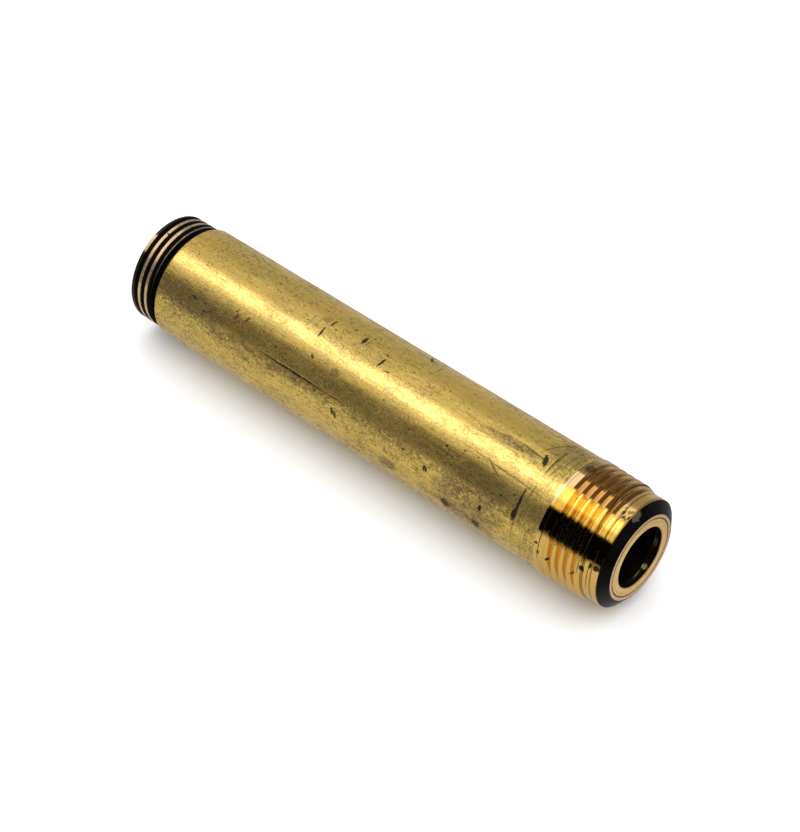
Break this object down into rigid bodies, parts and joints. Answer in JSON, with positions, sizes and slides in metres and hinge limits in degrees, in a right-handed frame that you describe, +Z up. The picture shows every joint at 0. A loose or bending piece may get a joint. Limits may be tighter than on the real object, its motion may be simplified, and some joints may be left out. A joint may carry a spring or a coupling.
{
  "type": "threaded pipe nipple",
  "caption": "Straight brass pipe nipple, a lined through-bore tube with a male thread at each end, the far one on a smaller spigot.",
  "frame": {"origin": "centre of the bore's mouth, in the plane of the near end face (the end with the larger thread and the end chamfer)", "axes": "+X along the bore axis, out of the near end; -X towards the far end with the smaller thread; +Z up as the nipple lies on its side"},
  "size_m": [0.0639, 0.0128, 0.0128],
  "materials": {
    "barrel_brass": "old drawn brass with olive patina, scratches and machined, brighter threads",
    "liner_brass": "turned brass, dark with residue inside the bore"
  },
  "bodies": {
    "root": {"outer_barrel": "barrel_brass", "bore_liner": "liner_brass"}
  },
  "joints": []
}
